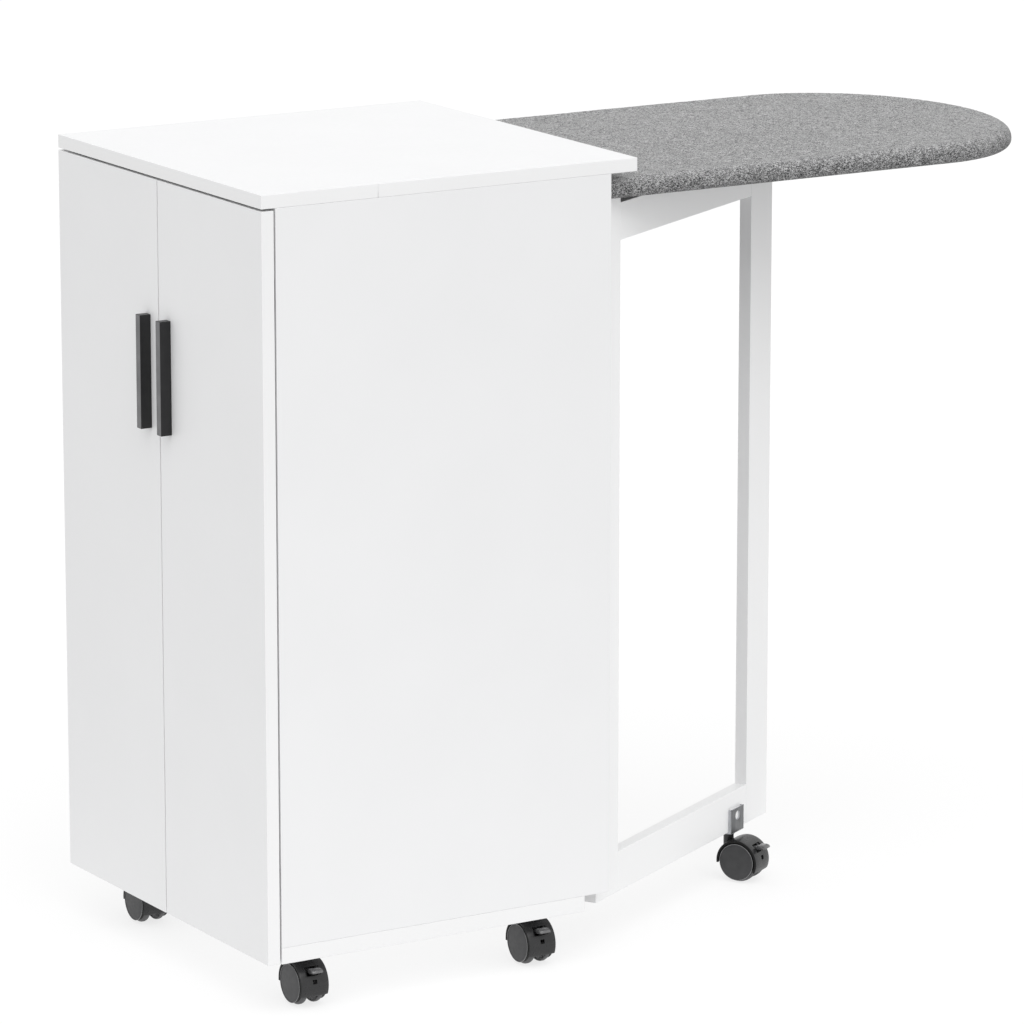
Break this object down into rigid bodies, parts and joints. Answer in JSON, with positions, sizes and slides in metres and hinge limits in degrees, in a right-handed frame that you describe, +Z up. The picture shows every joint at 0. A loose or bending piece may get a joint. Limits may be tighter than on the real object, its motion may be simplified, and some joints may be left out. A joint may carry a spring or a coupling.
{
  "type": "ironing board cabinet",
  "caption": "Tall white two-door storage cabinet on casters, with a padded ironing board hinged behind its top and a gate leg with its own caster that swings out under the board.",
  "frame": {"origin": "middle of the bounding box at floor level", "axes": "+Z up, +Y from the doors towards the nose of the ironing board, +X towards the side that the gate leg is hinged to"},
  "size_m": [0.465, 1.0862, 0.898],
  "materials": {
    "laminate": "white melamine, satin",
    "pine": "bare wood",
    "grey_board": "grey painted board, matte",
    "zinc_steel": "zinc plated, satin",
    "bracket_steel": "pressed steel, satin",
    "black_metal": "black, satin",
    "hood_black": "black, semi-gloss",
    "wheel_grey": "dark grey, satin",
    "white_plastic": "white, matte",
    "cover_cloth": "heathered woven",
    "felt": "soft"
  },
  "bodies": {
    "cabinet": {"top_panel": "laminate", "left_side_panel": "laminate", "right_side_panel": "laminate", "bottom_panel": "laminate", "back_panel": "laminate", "lower_shelf": "laminate", "upper_shelf": "laminate", "hinge_rail": "laminate", "shelf_pins": "zinc_steel", "cam_fittings": "zinc_steel", "bottom_screws": "zinc_steel", "panel_dowels": "pine", "door_hinge_arms": "zinc_steel", "door_catch": "white_plastic", "hinge_and_catch_screws": "zinc_steel", "board_hinge_rail_leaves": "zinc_steel", "board_hinge_pins": "zinc_steel", "leg_hinge_side_leaves": "zinc_steel", "leg_hinge_pins": "zinc_steel", "caster_plates": "zinc_steel", "caster_stems": "zinc_steel", "caster_plate_screws": "zinc_steel"},
    "left_door": {"left_door": "laminate", "left_handle": "black_metal", "left_hinge_cups": "zinc_steel", "left_door_screws": "zinc_steel", "left_strike_plate": "zinc_steel"},
    "right_door": {"right_door": "laminate", "right_handle": "black_metal", "right_hinge_cups": "zinc_steel", "right_door_screws": "zinc_steel", "right_strike_plate": "zinc_steel"},
    "gate_leg": {"leg_hinge_stile": "laminate", "leg_outer_stile": "laminate", "leg_upper_rail": "laminate", "leg_lower_rail": "laminate", "leg_hinge_leaves": "zinc_steel", "leg_screws": "zinc_steel", "leg_dowels": "pine", "leg_caster_bracket": "bracket_steel"},
    "ironing_board": {"board_core": "grey_board", "board_pad": "felt", "board_cover": "cover_cloth", "board_hinge_leaves": "zinc_steel", "board_leaf_screws": "zinc_steel"},
    "front_right_caster_hood": {"front_right_caster_hood": "hood_black"},
    "front_right_caster_wheels": {"front_right_caster_wheels": "wheel_grey"},
    "front_right_caster_brake": {"front_right_caster_brake": "hood_black"},
    "rear_right_caster_hood": {"rear_right_caster_hood": "hood_black"},
    "rear_right_caster_wheels": {"rear_right_caster_wheels": "wheel_grey"},
    "rear_right_caster_brake": {"rear_right_caster_brake": "hood_black"},
    "front_left_caster_hood": {"front_left_caster_hood": "hood_black"},
    "front_left_caster_wheels": {"front_left_caster_wheels": "wheel_grey"},
    "front_left_caster_brake": {"front_left_caster_brake": "hood_black"},
    "rear_left_caster_hood": {"rear_left_caster_hood": "hood_black"},
    "rear_left_caster_wheels": {"rear_left_caster_wheels": "wheel_grey"},
    "rear_left_caster_brake": {"rear_left_caster_brake": "hood_black"},
    "leg_caster_hood": {"leg_caster_hood": "hood_black"},
    "leg_caster_wheels": {"leg_caster_wheels": "wheel_grey"},
    "leg_caster_brake": {"leg_caster_brake": "hood_black"}
  },
  "joints": [
    {"name": "left_door_hinge", "type": "hinge", "parent": "cabinet", "child": "left_door", "pos_m": [-0.2272, -0.5227, 0.47], "axis": [0, 0, -1], "range_deg": [0, 95]},
    {"name": "right_door_hinge", "type": "hinge", "parent": "cabinet", "child": "right_door", "pos_m": [0.2272, -0.5227, 0.47], "axis": [0, 0, 1], "range_deg": [0, 95]},
    {"name": "leg_hinge", "type": "hinge", "parent": "cabinet", "child": "gate_leg", "pos_m": [0.2145, -0.1037, 0.454], "axis": [0, 0, 1], "range_deg": [-30, 60]},
    {"name": "board_hinge", "type": "hinge", "parent": "cabinet", "child": "ironing_board", "pos_m": [0, -0.0947, 0.8533], "axis": [1, 0, 0], "range_deg": [0, 10]},
    {"name": "front_right_caster_swivel", "type": "hinge", "parent": "cabinet", "child": "front_right_caster_hood", "pos_m": [0.1815, -0.4682, 0.043], "axis": [0, 0, 1], "continuous": true},
    {"name": "front_right_caster_spin", "type": "hinge", "parent": "front_right_caster_hood", "child": "front_right_caster_wheels", "pos_m": [0.2, -0.4682, 0.024], "axis": [0, 1, 0], "continuous": true},
    {"name": "front_right_caster_lever", "type": "hinge", "parent": "front_right_caster_hood", "child": "front_right_caster_brake", "pos_m": [0.20822, -0.4682, 0.03947], "axis": [0, 1, 0], "range_deg": [-12, 8]},
    {"name": "rear_right_caster_swivel", "type": "hinge", "parent": "cabinet", "child": "rear_right_caster_hood", "pos_m": [0.1815, -0.1797, 0.043], "axis": [0, 0, 1], "continuous": true},
    {"name": "rear_right_caster_spin", "type": "hinge", "parent": "rear_right_caster_hood", "child": "rear_right_caster_wheels", "pos_m": [0.2, -0.1797, 0.024], "axis": [0, 1, 0], "continuous": true},
    {"name": "rear_right_caster_lever", "type": "hinge", "parent": "rear_right_caster_hood", "child": "rear_right_caster_brake", "pos_m": [0.20822, -0.1797, 0.03947], "axis": [0, 1, 0], "range_deg": [-12, 8]},
    {"name": "front_left_caster_swivel", "type": "hinge", "parent": "cabinet", "child": "front_left_caster_hood", "pos_m": [-0.1815, -0.4682, 0.043], "axis": [0, 0, 1], "continuous": true},
    {"name": "front_left_caster_spin", "type": "hinge", "parent": "front_left_caster_hood", "child": "front_left_caster_wheels", "pos_m": [-0.163, -0.4682, 0.024], "axis": [0, 1, 0], "continuous": true},
    {"name": "front_left_caster_lever", "type": "hinge", "parent": "front_left_caster_hood", "child": "front_left_caster_brake", "pos_m": [-0.15477, -0.4682, 0.03947], "axis": [0, 1, 0], "range_deg": [-12, 8]},
    {"name": "rear_left_caster_swivel", "type": "hinge", "parent": "cabinet", "child": "rear_left_caster_hood", "pos_m": [-0.1815, -0.1797, 0.043], "axis": [0, 0, 1], "continuous": true},
    {"name": "rear_left_caster_spin", "type": "hinge", "parent": "rear_left_caster_hood", "child": "rear_left_caster_wheels", "pos_m": [-0.163, -0.1797, 0.024], "axis": [0, 1, 0], "continuous": true},
    {"name": "rear_left_caster_lever", "type": "hinge", "parent": "rear_left_caster_hood", "child": "rear_left_caster_brake", "pos_m": [-0.15477, -0.1797, 0.03947], "axis": [0, 1, 0], "range_deg": [-12, 8]},
    {"name": "leg_caster_swivel", "type": "hinge", "parent": "gate_leg", "child": "leg_caster_hood", "pos_m": [0.03371, 0.19145, 0.043], "axis": [0, 0, 1], "continuous": true},
    {"name": "leg_caster_spin", "type": "hinge", "parent": "leg_caster_hood", "child": "leg_caster_wheels", "pos_m": [0.04973, 0.2007, 0.024], "axis": [-0.5, 0.866, 0], "continuous": true},
    {"name": "leg_caster_lever", "type": "hinge", "parent": "leg_caster_hood", "child": "leg_caster_brake", "pos_m": [0.05685, 0.20481, 0.03947], "axis": [-0.5, 0.866, 0], "range_deg": [-12, 8]}
  ]
}
